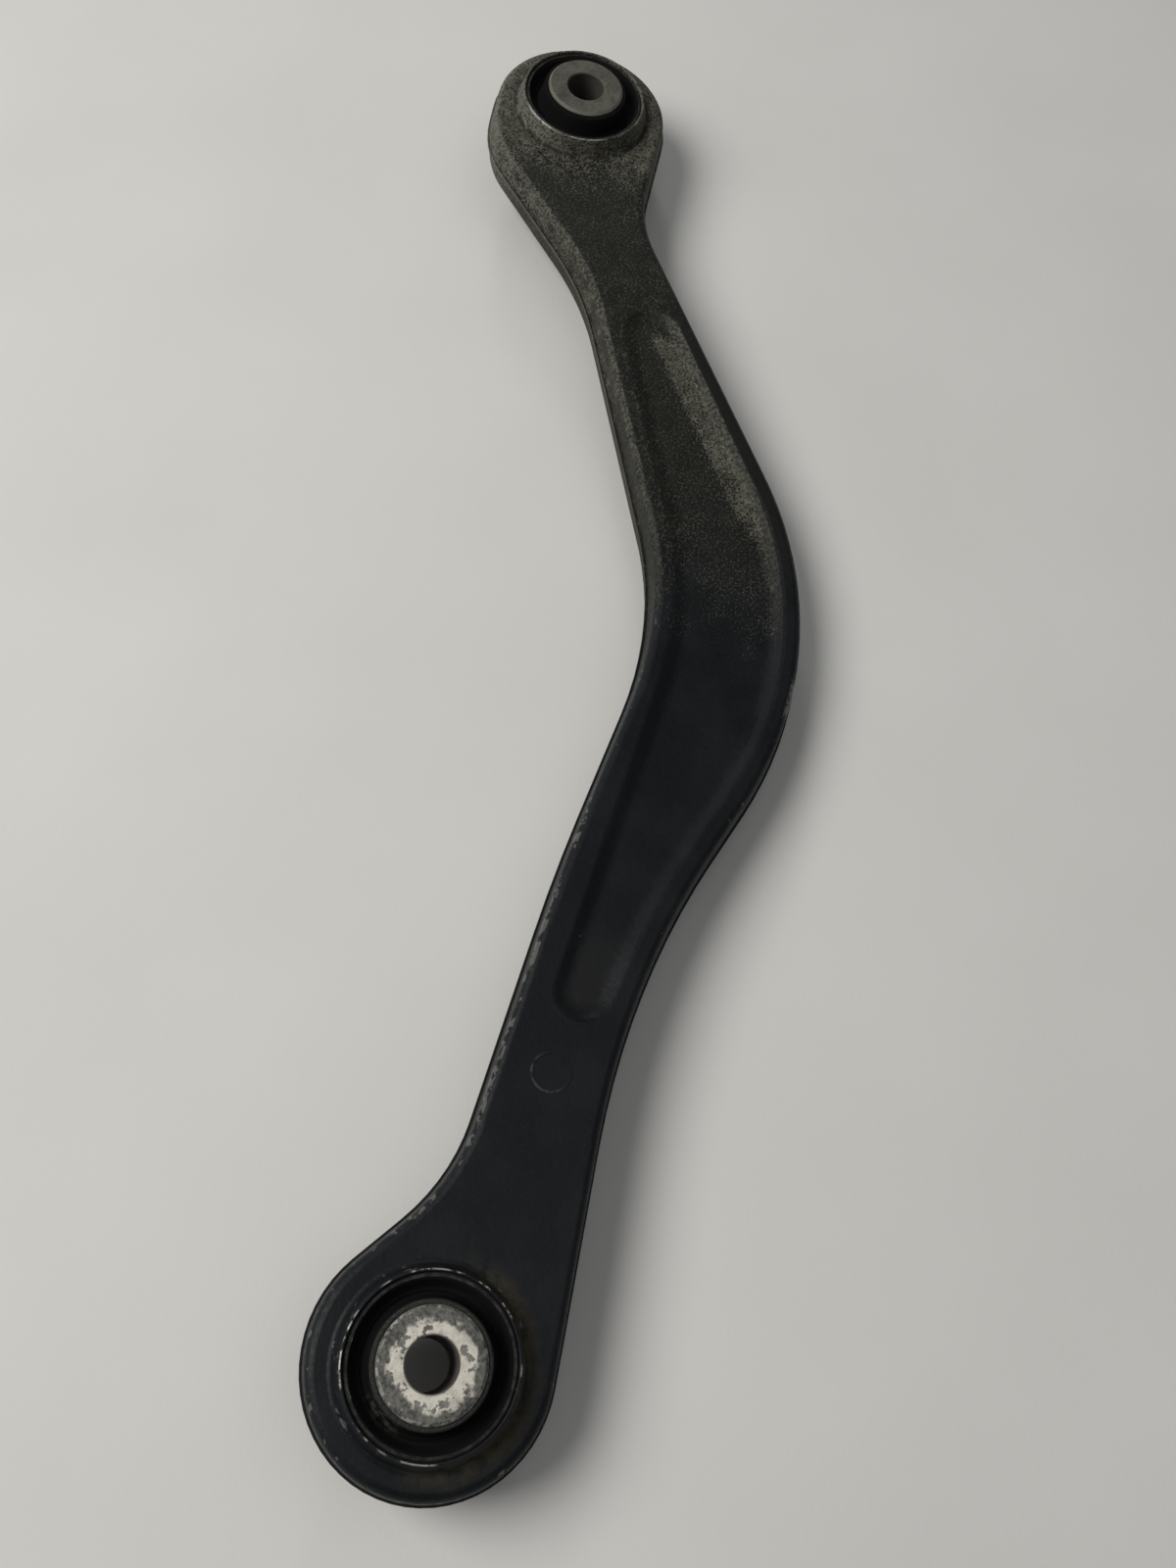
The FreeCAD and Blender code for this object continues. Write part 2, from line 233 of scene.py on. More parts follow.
    def finish(self, colour, roughness, metallic=0.0, normal=None, specular=0.5):
        """Join everything to one surface and return the finished material."""
        surface = self.add("ShaderNodeBsdfPrincipled")
        self.feed(surface.inputs["Base Color"], colour)
        self.feed(surface.inputs["Roughness"], roughness)
        self.feed(surface.inputs["Metallic"], metallic)
        surface.inputs["Specular IOR Level"].default_value = specular
        if normal is not None:
            self.feed(surface.inputs["Normal"], normal)
        output = self.add("ShaderNodeOutputMaterial")
        self.tree.links.new(surface.outputs[0], output.inputs["Surface"])
        return self.material


# ---------------------------------------------------------------- materials: the finishes


# Colours are linear red, green and blue.
# Bare steel of the rubbed rims, also used for the painted glints on the rims.
BARE_STEEL_AND_GLINT = (0.33, 0.32, 0.29)
OLD_STEEL = (0.120, 0.120, 0.113)
RUBBED_STEEL = (0.70, 0.66, 0.57)
STREAK_DARK = (0.040, 0.040, 0.036)
STREAK_LIGHT = (0.155, 0.152, 0.136)
# Painted highlight along the outer edge of the inboard sleeve.
EDGE_HIGHLIGHT_STEEL = (0.42, 0.41, 0.38)
HOLE_GREY = (0.130, 0.115, 0.110)

DULL_DARK = (0.056, 0.053, 0.041)
DULL_LIGHT = (0.112, 0.106, 0.086)
DULL_STAIN = (0.034, 0.032, 0.025)
# Painted highlight along the outer edge of the outboard sleeve.
DULL_EDGE_HIGHLIGHT = (0.21, 0.20, 0.175)
DULL_HOLE = (0.060, 0.056, 0.046)
DULL_SIDE = (0.015, 0.015, 0.013)

SHELL_STEEL = (0.045, 0.043, 0.040)
SHELL_GRIME = (0.008, 0.008, 0.008)

COAT_BLACK = (0.0026, 0.0038, 0.0052)
COAT_GREY = (0.0058, 0.0078, 0.0098)
COAT_THIN = (0.0150, 0.0165, 0.0180)
COAT_RUBBED = (0.060, 0.061, 0.061)

ROAD_DUST = (0.076, 0.073, 0.052)
PALE_DUST = (0.170, 0.167, 0.138)
THIN_DUST = (0.0130, 0.0127, 0.0085)
RUST_GRIT = (0.050, 0.028, 0.016)
# Painted shade for the crease at the foot of the outboard collar.
COLLAR_FOOT_SHADE = (0.012, 0.011, 0.009)
BROWN_FILM = (0.0165, 0.0140, 0.0098)
PALE_FILM = (0.0430, 0.0370, 0.0225)

RUBBER_DARK = (0.0025, 0.0025, 0.0028)
RUBBER_WORN = (0.0075, 0.0073, 0.0072)
DRIED_MUD = (0.046, 0.046, 0.041)

# Sizes of the CAD model, in millimetres: the bulge that bounds the arm on its bowed side and the
# heading of the straight that leaves it, the ring mark, the bolt hole, the sleeve and the collars.
BULGE_X = 207.3
BULGE_Y = 37.8
BULGE_RADIUS = 121.5
STRAIGHT_HEADING = math.radians(26.2)
MARK_X = 69.7
MARK_Y = -21.2
MARK_RADIUS = 5.0
HOLE_RADIUS = 6.15
SLEEVE_RADIUS = 12.7
COLLAR_HEIGHT = 14.0

# How far from a bore axis marks gather, in millimetres: on the rim (wear and painted glints),
# where the collar meets the eye (painted shade), and out to the edge of the eye.
RIM_REACH = 20.45
COLLAR_FOOT_REACH = 22.9
EYE_REACH = 30.0

# Slope, in y for each step of x, of the line that parts the rubbed side of the ring mark from the rest.
MARK_SLANT = 0.8


def distance_from_bow(coat):
    """How far in from the bowed edge a point is, in millimetres.

    It holds from x = 144, where the bulge begins, to the outboard neck."""
    from_x = coat.minus(coat.x, BULGE_X)
    from_y = coat.minus(coat.y, BULGE_Y)
    to_bend = coat.minus(BULGE_RADIUS, coat.reach_from(BULGE_X, BULGE_Y))
    cosine = math.cos(STRAIGHT_HEADING)
    sine = math.sin(STRAIGHT_HEADING)
    across = coat.minus(coat.times(from_y, cosine), coat.times(from_x, sine))
    to_straight = coat.plus(across, BULGE_RADIUS)
    along = coat.plus(coat.times(from_x, cosine), coat.times(from_y, sine))
    return coat.blend(coat.step(along, -1.0, 1.0), to_bend, to_straight)


def arc_share(shader, centre, bearing, half_width):
    """1 on the side of a bore that faces a bearing, falling to 0 half_width away, both in degrees."""
    across = shader.minus(shader.x, centre.x / MM)
    along = shader.minus(shader.y, centre.y / MM)
    turn = math.radians(bearing)
    ahead = shader.plus(shader.times(across, math.cos(turn)), shader.times(along, math.sin(turn)))
    facing = shader.math("DIVIDE", ahead, shader.radius_from(centre))
    outside = math.cos(math.radians(half_width))
    inside = math.cos(math.radians(half_width / 2))
    return shader.step(facing, outside, inside)


def dust_layers(coat):
    """Where specks of dust lie and how thick they are: none inboard, thin along the outboard half,
    thick on the outboard eye, on the walls and in a strip along the bowed side of the recess."""
    ragged_x = coat.plus(coat.x, coat.drift(18.0, 14.0, detail=3.0))
    cloud = coat.stretch(coat.noise(8.0, detail=4.0, shift=31.0), 0.3, 0.7, 0.74, 1.0)
    from_bow = distance_from_bow(coat)
    clean_margin = coat.times(coat.step(from_bow, 9.0, 5.0), coat.step(coat.x, 325, 285))
    blade = coat.times(coat.step(ragged_x, 178, 216), coat.outside(clean_margin), 0.76)
    eye = coat.times(coat.step(coat.x, 326, 392), 1.10)
    upper_face = coat.step(coat.z, 5.0, 6.5)
    strip_run = coat.times(coat.step(ragged_x, 220, 258), coat.step(coat.x, 317, 306))
    strip = coat.times(coat.band(from_bow, 5.5, 9.5, 14.2, 19.2), upper_face, strip_run)
    wall = coat.step(coat.levelness(), 0.80, 0.30)
    thinner_below = coat.stretch(coat.z, -4.0, 1.0, 0.45, 1.0)
    wall = coat.times(coat.step(ragged_x, 205, 300), wall, thinner_below, cloud)
    thick = coat.most(eye, strip, wall)
    density = coat.times(coat.most(blade, coat.times(thick, 1.1)), cloud)
    specks = coat.scatter(density, coat.noise(0.72, detail=3.0, roughness=0.8))
    return specks, thick


def edge_dust(coat):
    """Pale dust caught on the roundings that face away from the bow, and on the flash line all round."""
    level = coat.levelness()
    rounding = coat.band(level, 0.15, 0.45, 0.93, 0.995)
    heel_side = coat.step(coat.normal_y, 0.05, 0.30)
    ragged = coat.step(coat.noise(1.1, detail=4.0, roughness=0.75, shift=23.0), 0.42, 0.60)
    flash = coat.times(coat.near(coat.z, 0.0, 1.1), coat.step(level, 0.6, 0.3), 0.8)
    line = coat.most(coat.times(rounding, heel_side, ragged), flash)
    return coat.times(line, coat.step(coat.x, 190, 290))


def edge_nicks(coat):
    """Where the coat has flaked off the roundings of both faces of the inboard half.

    On the heel side, which faces away from the bow, and round the eye, only the outer part of the
    rounding is taken, which leaves the gentle walls of the recess whole. On the bowed side more of it
    is, for one long nick on the upper face."""
    level = coat.levelness()
    edge = coat.step(coat.height(), 5.2, 6.6)
    outer_part = coat.times(edge, coat.step(level, 0.88, 0.80))
    flakes = coat.noise(3.4, detail=6.0, roughness=0.68, shift=5.0)
    ragged = coat.plus(flakes, coat.drift(24.0, 0.09, shift=51.0))

    heel_side = coat.step(coat.normal_y, 0.05, 0.2)
    heel_run = coat.band(coat.x, 5, 35, 190, 225)
    most_worn = coat.times(coat.band(coat.x, 30, 50, 100, 125), 0.09)
    flaked = coat.step(coat.plus(ragged, most_worn), 0.59, 0.62)
    heel = coat.times(outer_part, heel_side, heel_run, flaked)

    rounding = coat.times(edge, coat.step(level, 0.97, 0.88))
    at_bow = coat.step(distance_from_bow(coat), 5, 3)
    bow_side = coat.times(coat.step(coat.normal_y, -0.05, -0.2), at_bow)
    bow_run = coat.band(coat.x, 95, 120, 195, 205)
    long_nick = coat.times(coat.near(coat.x, 184, 8), coat.step(coat.z, 0, 1), 0.22)
    flaked = coat.step(coat.plus(ragged, long_nick), 0.66, 0.68)
    bow = coat.times(rounding, bow_side, bow_run, flaked)

    from_bore = coat.radius_from(BUSH_CENTRES["inboard"])
    near_eye = coat.step(from_bore, EYE_REACH + 1, EYE_REACH - 1)
    eye = coat.times(outer_part, coat.step(coat.times(ragged, near_eye), 0.63, 0.65))
    return coat.most(heel, bow, eye)


# Arcs of the rims, rubbed to bare steel and partly painted highlights (glints): bush, bearing and half
# spread in degrees, noise to pass, width in millimetres.
RIM_WEAR_AND_GLINTS = (
    ("inboard", 178, 14, 0.36, 0.30),
    ("inboard", 110, 62, 0.48, 0.24),
    ("inboard", 12, 34, 0.48, 0.24),
    ("inboard", -55, 50, 0.52, 0.24),
    ("outboard", 138, 24, 0.38, 0.60),
    ("outboard", 180, 30, 0.46, 0.30),
)


def rim_wear_and_glints(coat):
    """Where the rims of the collars are rubbed to bright steel, with painted highlights (glints) along
    their rounding.
    """
    scratches_and_glints = coat.noise(4.0, detail=5.0, roughness=0.60, shift=19.0)
    high = coat.step(coat.height(), COLLAR_HEIGHT - 0.8, COLLAR_HEIGHT - 0.2)
    arcs = []
    for side, bearing, spread, level, width in RIM_WEAR_AND_GLINTS:
        centre = BUSH_CENTRES[side]
        lip = coat.near(coat.radius_from(centre), RIM_REACH, width)
        worn = coat.step(scratches_and_glints, level, level + 0.08)
        arcs.append(coat.times(lip, high, worn, arc_share(coat, centre, bearing, spread)))
    return coat.most(*arcs)


def collar_foot_shade(coat):
    """A patchy dark line of painted shade in the crease where the outboard collar rises from its eye."""
    foot = coat.near(coat.radius_from(BUSH_CENTRES["outboard"]), COLLAR_FOOT_REACH, 0.9)
    patchy = coat.step(coat.noise(3.0, detail=3.0, shift=2.0), 0.3, 0.5)
    return coat.times(foot, patchy, 0.8)


def recess_stain(coat):
    """Dried brown splash at the inboard end of the recess floor."""
    floor = coat.times(coat.step(coat.z, 7.9, 7.4), coat.step(coat.normal_z, 0.9, 0.98))
    inboard_end = coat.step(coat.x, 118, 96)
    blotches = coat.step(coat.noise(5.0, detail=5.0, shift=8.0), 0.2, 0.6)
    return coat.times(floor, inboard_end, blotches, 0.35)


def collar_stain(coat):
    """Dried brown splash round the bowed side of the inboard collar."""
    centre = BUSH_CENTRES["inboard"]
    ring = coat.band(coat.radius_from(centre), 20.5, 21.5, 22.5, 27.5)
    upper_face = coat.step(coat.z, 7.0, 8.0)
    blotches = coat.step(coat.noise(4.0, detail=5.0, roughness=0.65), 0.30, 0.62)
    return coat.times(ring, upper_face, arc_share(coat, centre, -100, 105), blotches)


def mark_wear(coat):
    """The raised ring mark, rubbed grey on the side towards the inboard eye and away from the bow."""
    ring = coat.near(coat.reach_from(MARK_X, MARK_Y), MARK_RADIUS, 0.6)
    raised = coat.step(coat.z, 8.80, 8.95)
    lean = coat.minus(coat.minus(coat.y, MARK_Y), coat.times(coat.x, MARK_SLANT))
    middle = -MARK_SLANT * MARK_X
    rubbed = coat.step(lean, middle - 4.0, middle + 5.0)
    patchy = coat.step(coat.noise(1.5, detail=4.0, shift=6.0), 0.30, 0.60)
    return coat.times(ring, raised, rubbed, patchy, 0.7)


def plain_coat(coat, swell):
    """The black coat before anything settled on it: slowly varying, thin on the roundings and hazed."""
    colour = coat.mix(coat.step(swell, 0.35, 0.7), COAT_BLACK, COAT_GREY)
    thin = coat.times(coat.band(coat.levelness(), 0.15, 0.40, 0.75, 0.97), 0.5)
    colour = coat.mix(thin, colour, COAT_THIN)
    haze = coat.step(coat.noise(0.6, detail=4.0, roughness=0.8, shift=61.0), 0.50, 0.64)
    return coat.mix(coat.times(haze, 0.30), colour, COAT_THIN)


def dust_tone_and_light(coat, thick):
    """The dust's colour: paler where it is thick, with rust grains, and painted paler on the outboard
    end's faces that turn to the window light.
    """
    pale = coat.step(coat.noise(3.0, detail=5.0, roughness=0.65, shift=11.0), 0.35, 0.7)
    pale = coat.times(pale, coat.stretch(thick, 0.0, 1.0, 0.2, 0.8))
    # Painted highlight: the dust is made paler on the outboard end's faces that turn towards the window
    # light.
    window_lit_end = coat.times(coat.step(coat.normal_y, 0.1, 0.6), coat.step(coat.x, 330, 370))
    tone = coat.mix(coat.most(pale, window_lit_end), ROAD_DUST, PALE_DUST)
    rusty = coat.step(coat.noise(1.2, detail=3.0, shift=41.0), 0.66, 0.70)
    return coat.mix(rusty, tone, RUST_GRIT)


def coat_relief(coat, swell, pits, dust, chips_and_glints):
    """Dents of the coat: slow swells, scale pits, fine peel, standing dust, and the floors of chips and
    of the rim arcs, which also carry painted glints.
    """
    peel = coat.noise(0.5, detail=2.0, shift=3.0)
    normal = coat.bump(swell, 0.15)
    normal = coat.bump(pits, 0.12, normal)
    normal = coat.bump(peel, 0.020, normal)
    normal = coat.bump(dust, 0.05, normal)
    return coat.bump(coat.outside(chips_and_glints), 0.08, normal)


def forging_coat():
    """Satin black coat over a scaled forging, chipped to steel along its edges and dusty outboard."""
    coat = Shader("black_coat")
    pits = coat.noise(1.6, detail=5.0, roughness=0.62)
    swell = coat.noise(16.0, detail=2.0, shift=7.0)
    colour = coat.mix(mark_wear(coat), plain_coat(coat, swell), COAT_RUBBED)

    splash = collar_stain(coat)
    colour = coat.mix(recess_stain(coat), colour, BROWN_FILM)
    colour = coat.mix(splash, colour, PALE_FILM)
    thin_film = coat.times(coat.step(coat.x, 190, 265), 0.60)
    colour = coat.mix(thin_film, colour, THIN_DUST)

    specks, thick = dust_layers(coat)
    dust = coat.times(specks, coat.stretch(thick, 0.0, 1.0, 0.66, 0.95))
    colour = coat.mix(dust, colour, dust_tone_and_light(coat, thick))
    line = edge_dust(coat)
    colour = coat.mix(coat.times(line, 0.55), colour, PALE_DUST)
    # Painted shade: a dark line in the crease at the foot of the outboard collar.
    colour = coat.mix(collar_foot_shade(coat), colour, COLLAR_FOOT_SHADE)

    nicks = edge_nicks(coat)
    colour = coat.mix(nicks, colour, OLD_STEEL)
    # The rim arcs are partly real wear and partly painted highlights (glints).
    rims_and_glints = rim_wear_and_glints(coat)
    colour = coat.mix(rims_and_glints, colour, BARE_STEEL_AND_GLINT)
    chips_and_glints = coat.most(nicks, rims_and_glints)

    matt = coat.most(dust, line, splash)
    roughness = coat.blend(matt, coat.stretch(pits, 0.3, 0.7, 0.38, 0.56), 0.9)
    roughness = coat.blend(chips_and_glints, roughness, 0.40)
    metallic = coat.most(coat.times(nicks, 0.4), coat.times(rims_and_glints, 0.85))
    normal = coat_relief(coat, swell, pits, dust, chips_and_glints)
    return coat.finish(colour, roughness, metallic, normal, specular=0.18)


def shell_steel():
    """Steel shell of the outer sleeve, dipped in the same black and dull with grime at its ends."""
    steel = Shader("shell_steel")
    grime = steel.step(steel.noise(2.5, detail=5.0, roughness=0.65), 0.25, 0.6)
    colour = steel.mix(grime, SHELL_STEEL, SHELL_GRIME)
    roughness = steel.blend(grime, 0.45, 0.85)
    normal = steel.bump(steel.noise(0.4, detail=3.0), 0.02)
    return steel.finish(colour, roughness, steel.blend(grime, 0.6, 0.1), normal, specular=0.3)


def hole_share(steel, radius):
    """1 on the wall of the bolt hole."""
    return steel.step(radius, HOLE_RADIUS + 0.21, HOLE_RADIUS + 0.09)


def worn_sleeve_steel():
    """The inboard sleeve: bright where the bracket rubbed it, flaking, dark grey towards its edge, with
    a painted highlight on the edge itself.
    """
    centre = BUSH_CENTRES["inboard"]
    steel = Shader("sleeve_steel_worn")
    radius = steel.radius_from(centre)
    rubbed = steel.radius_from(centre + Vector((-0.3, -0.4, 0.0)) * MM)
    wander = steel.stretch(steel.noise(3.6, detail=4.0, roughness=0.62), 0.25, 0.75, -1.9, 1.9)
    worn = steel.step(steel.plus(rubbed, wander), 10.2, 8.7)
    flakes = steel.step(steel.noise(3.4, detail=4.0, roughness=0.60, shift=3.0), 0.56, 0.59)
    smears = steel.step(steel.noise(2.8, detail=5.0, roughness=0.7, shift=14.0), 0.42, 0.64)
    bright = steel.times(worn, steel.outside(steel.times(flakes, 0.85)))
    bright = steel.times(bright, steel.outside(steel.times(smears, 0.35)))
    mottle = steel.noise(0.9, detail=5.0, roughness=0.7, shift=3.0)
    streaks = steel.step(steel.plus(mottle, steel.drift(5.0, 0.08, shift=22.0)), 0.33, 0.68)
    old_grey = steel.mix(streaks, STREAK_DARK, STREAK_LIGHT)
    colour = steel.mix(bright, old_grey, RUBBED_STEEL)
    hole = hole_share(steel, radius)
    colour = steel.mix(hole, colour, HOLE_GREY)
    # Painted highlight: a lighter ring along the sleeve's outer edge, broken up by noise.
    edge = steel.step(steel.noise(2.0, detail=4.0, shift=9.0), 0.5, 0.62)
    edge = steel.times(edge, steel.near(radius, SLEEVE_RADIUS - 0.45, 0.5), 0.6)
    colour = steel.mix(edge, colour, EDGE_HIGHLIGHT_STEEL)
    roughness = steel.blend(bright, 0.70, steel.stretch(mottle, 0.3, 0.7, 0.36, 0.55))
    metallic = steel.blend(steel.times(bright, steel.outside(hole)), 0.15, 0.65)
    normal = steel.bump(bright, 0.05)
    normal = steel.bump(mottle, 0.05, normal)
    return steel.finish(colour, roughness, metallic, normal)


def dusty_sleeve_steel():
    """The outboard sleeve: evenly dull grey under dust, with a few darker stains and a painted highlight
    along its outer edge.
    """
    centre = BUSH_CENTRES["outboard"]
    steel = Shader("sleeve_steel_dusty")
    radius = steel.radius_from(centre)
    grain = steel.noise(0.8, detail=5.0, roughness=0.7)
    patches = steel.drift(5.0, 0.12, detail=3.0, shift=27.0)
    stains = steel.step(steel.noise(4.0, detail=4.0, shift=17.0), 0.50, 0.72)
    edge = steel.near(radius, SLEEVE_RADIUS - 0.5, 0.5)
    colour = steel.mix(steel.step(steel.plus(grain, patches), 0.3, 0.7), DULL_DARK, DULL_LIGHT)
    colour = steel.mix(steel.times(stains, 0.6), colour, DULL_STAIN)
    # Painted highlight: a lighter ring along the sleeve's outer edge.
    colour = steel.mix(steel.times(edge, 0.4), colour, DULL_EDGE_HIGHLIGHT)
    colour = steel.mix(hole_share(steel, radius), colour, DULL_HOLE)
    upright = steel.step(steel.levelness(), 0.5, 0.2)
    side = steel.times(steel.step(radius, SLEEVE_RADIUS - 0.3, SLEEVE_RADIUS - 0.1), upright)
    colour = steel.mix(side, colour, DULL_SIDE)
    normal = steel.bump(grain, 0.05)
    return steel.finish(colour, 0.72, 0.15, normal, specular=0.4)


def rubber_black(side):
    """Matt moulded rubber, nearly black in the groove; the inboard lip is greyed by dried mud."""
    rubber = Shader("rubber_" + side)
    centre = BUSH_CENTRES[side]
    radius = rubber.radius_from(centre)
    grain = rubber.noise(0.6, detail=5.0, roughness=0.65)
    colour = rubber.mix(grain, RUBBER_DARK, RUBBER_WORN)
    if side == "inboard":
        lip = rubber.times(rubber.step(radius, 14.6, 13.8), rubber.step(rubber.height(), 14.4, 16.0))
        muddy = rubber.times(lip, rubber.stretch(grain, 0.3, 0.7, 0.2, 1.0))
        blotches = rubber.step(rubber.noise(2.0, detail=5.0, shift=5.0), 0.45, 0.62)
        facing = arc_share(rubber, centre, 140, 24)
        smudge = rubber.times(facing, rubber.step(radius, 17.5, 14.5), blotches, 0.8)
        colour = rubber.mix(rubber.most(muddy, smudge), colour, DRIED_MUD)
    normal = rubber.bump(grain, 0.05)
    normal = rubber.bump(rubber.noise(4.0, detail=2.0, shift=5.0), 0.12, normal)
    return rubber.finish(colour, 0.90, 0.0, normal, specular=0.10)


def give(piece, material):
    """Make a material the only one on a piece."""
    piece.data.materials.clear()
    piece.data.materials.append(material)


# ---------------------------------------------------------------- rubber rings


# Steps round a ring, round a corner of its section and down the ball; then lengths in millimetres;
# the wobble is a share of the height.
RING_STEPS = 144
CORNER_STEPS = 4
BALL_STEPS = 20
CORNER_RADIUS = 0.5
GROOVE_DEPTH = 6.0
GROOVE_SLOPE = 0.6
SEAM_GAP = 0.05
SLEEVE_GAP = 0.02
WOBBLE = 0.002


def eased(corners):
    """Run through the corners, in (radius, height) millimetres, with a small curve at each turn."""
    corners = [Vector(corner) for corner in corners]
    points = [corners[0]]
    for before, corner, after in zip(corners, corners[1:], corners[2:]):
        back = before - corner
        ahead = after - corner
        start = corner + back.normalized() * min(CORNER_RADIUS, back.length * 0.45)
        end = corner + ahead.normalized() * min(CORNER_RADIUS, ahead.length * 0.45)
        for step in range(CORNER_STEPS + 1):
            t = step / CORNER_STEPS
            points.append(start * (1 - t) ** 2 + corner * 2 * t * (1 - t) + end * t ** 2)
    points.append(corners[-1])
    return points


def mirrored(points):
    """The same points below the middle plane, walked the other way."""
    return [Vector((radius, -height)) for radius, height in reversed(points)]


def ball_side(start):
    """The points between start and its mirror image on a ball about the middle of the bush."""
    ball = start.length
    top = math.atan2(start.y, start.x)
    angles = [top * (1 - 2 * step / BALL_STEPS) for step in range(1, BALL_STEPS)]
    return [Vector((ball * math.cos(angle), ball * math.sin(angle))) for angle in angles]


def turned_ring(name, centre, section):
    """Turn a closed half section of (radius, height) points, in millimetres, about a bore axis.

    Its height wavers a little round the ring, as moulded rubber does when it has aged."""
    verts = []
    faces = []
    points = len(section)
    for ring in range(RING_STEPS):
        angle = 2 * math.pi * ring / RING_STEPS
        waver = math.sin(3 * angle + 0.6) + 0.6 * math.sin(7 * angle) + 0.4 * math.sin(11 * angle + 2)
        for radius, height in section:
            across = radius * MM * math.cos(angle)
            along = radius * MM * math.sin(angle)
            up = height * MM * (1 + WOBBLE * waver)
            verts.append(centre + Vector((across, along, up)))
    for ring in range(RING_STEPS):
        following = (ring + 1) % RING_STEPS
        here = ring * points
        there = following * points
        for i in range(points):
            j = (i + 1) % points
            faces.append((here + i, there + i, there + j, here + j))
    mesh = bpy.data.meshes.new(name)
    mesh.from_pydata(verts, [], faces)
    mesh.validate()
    mesh.shade_smooth()
    piece = bpy.data.objects.new(name, mesh)
    bpy.context.scene.collection.objects.link(piece)
    return piece


def rubber_rings(side):
    """The rubber in two rings: one stays in the eye and the other tilts with the sleeve.

    They meet under the groove on a ball about the middle of the bush, so one turns inside the other."""
    centre = BUSH_CENTRES[side]
    low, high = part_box(side + "_rubber")
    outer = (high.x - low.x) / 2 / MM
    inner = (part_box(side + "_inner_sleeve")[1].x - centre.x) / MM
    lip = high.z / MM
    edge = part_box(side + "_outer_sleeve")[1].z / MM
    groove = lip - GROOVE_DEPTH
    seam = (inner + outer) / 2
    seam_height = groove - GROOVE_SLOPE
    lip_inside = (inner + SLEEVE_GAP, lip)
    lip_outside = (inner + 1.1, lip)
    lip_foot = (inner + 2.2, groove)
    inner_upper = eased([lip_inside, lip_outside, lip_foot, (seam, seam_height)])
    bank_foot = (seam + 1.1, seam_height + 0.2)
    bank_head = (outer - 0.8, edge - 1.6)
    bank_top = (outer, edge - 0.2)
    outer_upper = eased([(seam + SEAM_GAP, seam_height), bank_foot, bank_head, bank_top])
    inner_section = inner_upper + ball_side(inner_upper[-1]) + mirrored(inner_upper)
    outer_section = outer_upper + mirrored(outer_upper) + ball_side(outer_upper[0])[::-1]
    inner_ring = turned_ring(side + "_rubber_inner", centre, inner_section)
    outer_ring = turned_ring(side + "_rubber_outer", centre, outer_section)
    material = rubber_black(side)
    for ring in (inner_ring, outer_ring):
        give(ring, material)
    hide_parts(side + "_rubber")
    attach(inner_ring, side + "_rubber_body")
    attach(outer_ring, "arm")


# ---------------------------------------------------------------- floor, light and camera


# In metres; the blade's sizes are those of the CAD model near the bulge.
FLOOR_HALF = 15.0
FLOOR_CLEARANCE = 0.6 * MM
PAPER_SHADE = (0.60, 0.59, 0.565)
PAPER_PALE = (0.68, 0.67, 0.645)
BLADE_HALF_HEIGHT = 8.6 * MM
BLADE_EDGE_ROUND = 2.4 * MM


def floor_tilt():
    """The arm lies on the edges of its sleeves and on its bulge; this is the lean that gives."""
    sleeve_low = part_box("inboard_inner_sleeve")[0]
    arm_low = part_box("arm_forging")[0]
    rise = -BLADE_HALF_HEIGHT - sleeve_low.z
    reach = sleeve_low.y - (arm_low.y + BLADE_EDGE_ROUND)
    return math.atan2(rise, reach)


def make_floor():
    """A wide plain sheet that leans so that the arm lies on it."""
    sleeve_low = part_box("inboard_inner_sleeve")[0]
    mesh = bpy.data.meshes.new("floor")
    turns = [(-1, -1), (1, -1), (1, 1), (-1, 1)]
    corners = [(FLOOR_HALF * across, FLOOR_HALF * along, 0.0) for across, along in turns]
    mesh.from_pydata(corners, [], [(0, 1, 2, 3)])
    floor = bpy.data.objects.new("floor", mesh)
    bpy.context.scene.collection.objects.link(floor)
    foot = Vector((sleeve_low.x, sleeve_low.y, sleeve_low.z - FLOOR_CLEARANCE))
    lean = Matrix.Rotation(-floor_tilt(), 4, "X")
    floor.matrix_world = Matrix.Translation(foot) @ lean
    paper = Shader("floor")
    tone = paper.mix(paper.noise(90.0, detail=3.0), PAPER_SHADE, PAPER_PALE)
    normal = paper.bump(paper.noise(1.2, detail=4.0), 0.05)
    give(floor, paper.finish(tone, 0.75, 0.0, normal, specular=0.3))


# Each light's name, place, width in metres, power in watts, and colour.
LIGHTS = (
    ("window", (0.15, 0.95, 1.0), 0.9, 16.0, (1.0, 0.985, 0.955)),
    ("ceiling", (0.1, -0.3, 1.5), 1.4, 3.2, (0.96, 0.98, 1.0)),
    ("doorway", (1.5, 0.25, 0.55), 0.25, 2.0, (0.97, 0.99, 1.0)),
)
LIGHT_AIM = Vector((0.2, -0.03, 0.0))
ROOM_GREY = (0.85, 0.86, 0.88, 1.0)
ROOM_BRIGHTNESS = 0.13


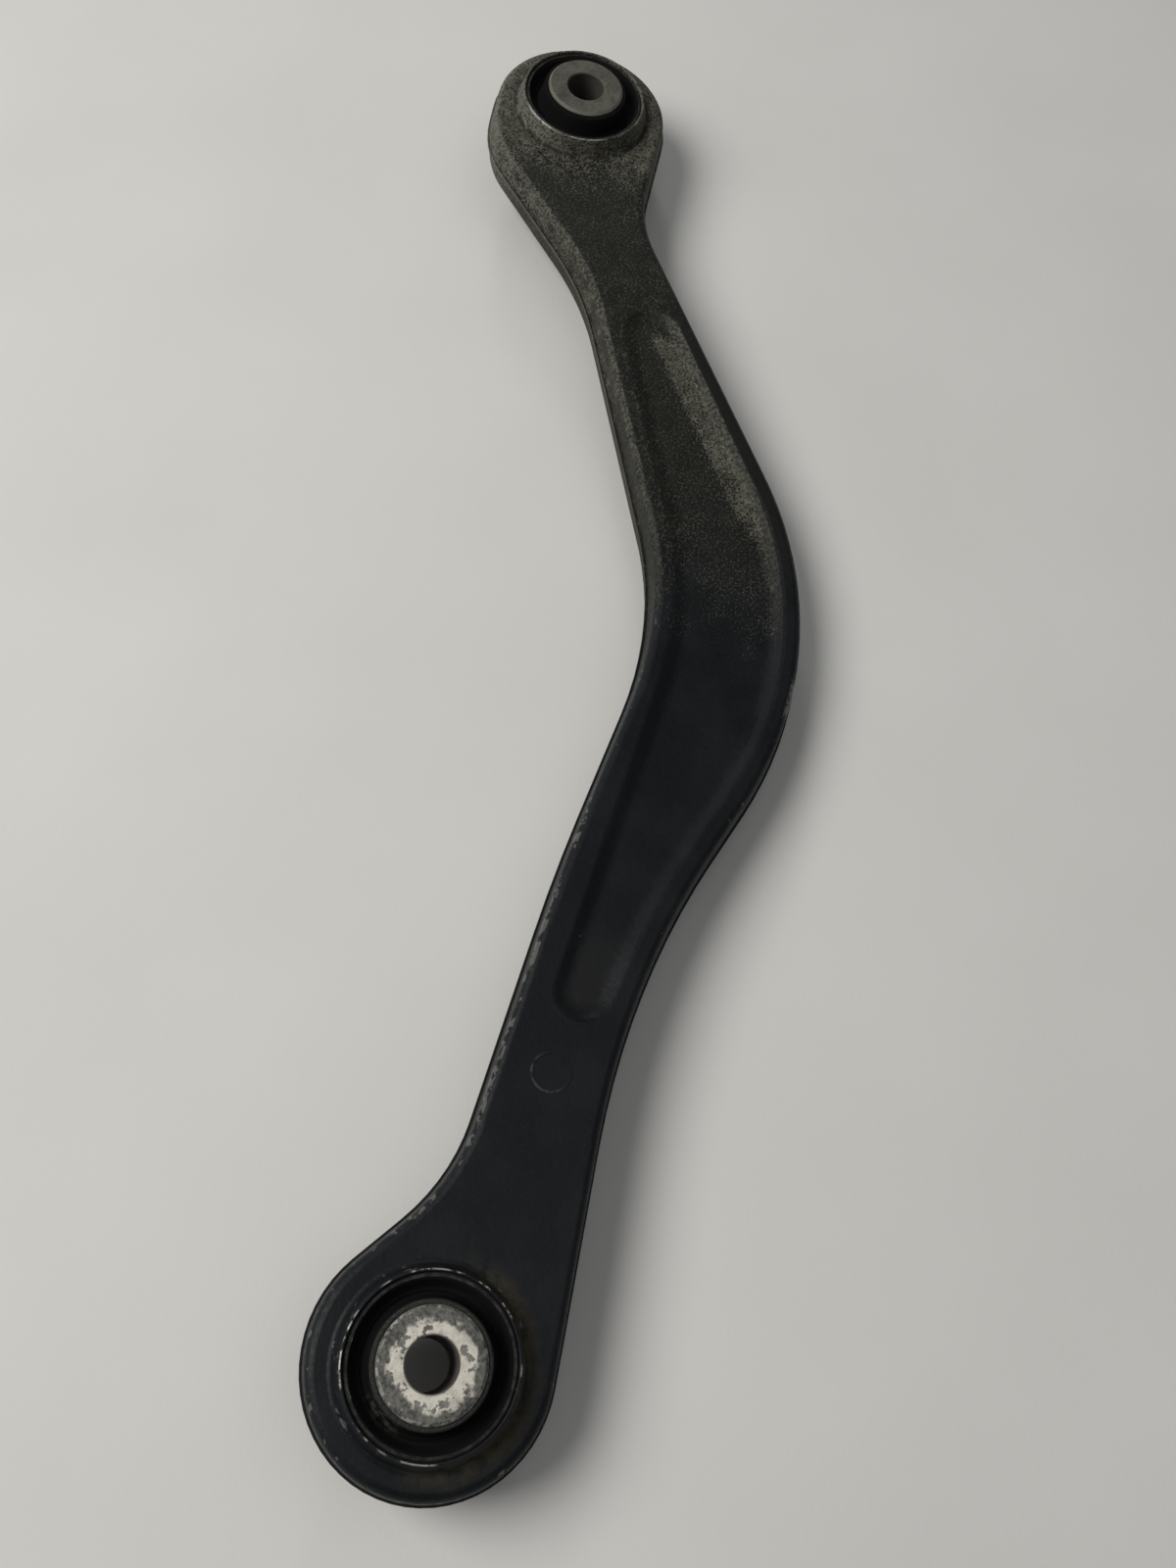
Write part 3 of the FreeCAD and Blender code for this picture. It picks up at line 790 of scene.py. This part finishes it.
def make_light(name, place, width, power, colour):
    """A soft round lamp that faces the middle of the arm."""
    light = bpy.data.lights.new(name, "AREA")
    light.shape = "DISK"
    light.size = width
    light.energy = power
    light.color = colour
    lamp = bpy.data.objects.new(name, light)
    bpy.context.scene.collection.objects.link(lamp)
    lamp.location = place
    lamp.rotation_mode = "QUATERNION"
    lamp.rotation_quaternion = (LIGHT_AIM - Vector(place)).to_track_quat("-Z", "Y")


def make_room():
    """An even, dim, slightly blue surround."""
    world = bpy.data.worlds.new("room")
    world.use_nodes = True
    background = world.node_tree.nodes["Background"]
    background.inputs["Color"].default_value = ROOM_GREY
    background.inputs["Strength"].default_value = ROOM_BRIGHTNESS
    bpy.context.scene.world = world


CAMERA_PLACE = Vector((-0.0025, 0.0197, 0.3540))
CAMERA_AIM = Vector((0.15292, -0.02487, 0.0))
CAMERA_ROLL = math.radians(22.82)
LENS_MM = 31.88
SENSOR_MM = 36.0


def make_camera():
    """Held in the hand above the inboard end, looking along the arm."""
    camera_data = bpy.data.cameras.new("camera")
    camera_data.sensor_fit = "AUTO"
    camera_data.sensor_width = SENSOR_MM
    camera_data.lens = LENS_MM
    camera_data.clip_start = 0.01
    camera = bpy.data.objects.new("camera", camera_data)
    bpy.context.scene.collection.objects.link(camera)
    look = (CAMERA_AIM - CAMERA_PLACE).to_track_quat("-Z", "Y").to_matrix().to_4x4()
    roll = Matrix.Rotation(CAMERA_ROLL, 4, "Z")
    camera.matrix_world = Matrix.Translation(CAMERA_PLACE) @ look @ roll
    bpy.context.scene.camera = camera


# ---------------------------------------------------------------- assembly


def dress_frame():
    """Give every carried-over CAD node its finish."""
    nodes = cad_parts
    give(nodes["arm_forging"], forging_coat())
    shell = shell_steel()
    for side in BUSH_SIDES:
        give(nodes[side + "_outer_sleeve"], shell)
    give(nodes["inboard_inner_sleeve"], worn_sleeve_steel())
    give(nodes["outboard_inner_sleeve"], dusty_sleeve_steel())


def main():
    dress_frame()
    for side in BUSH_SIDES:
        rubber_rings(side)
    make_floor()
    for light in LIGHTS:
        make_light(*light)
    make_room()
    make_camera()
    bpy.context.scene.view_settings.view_transform = "Standard"


main()
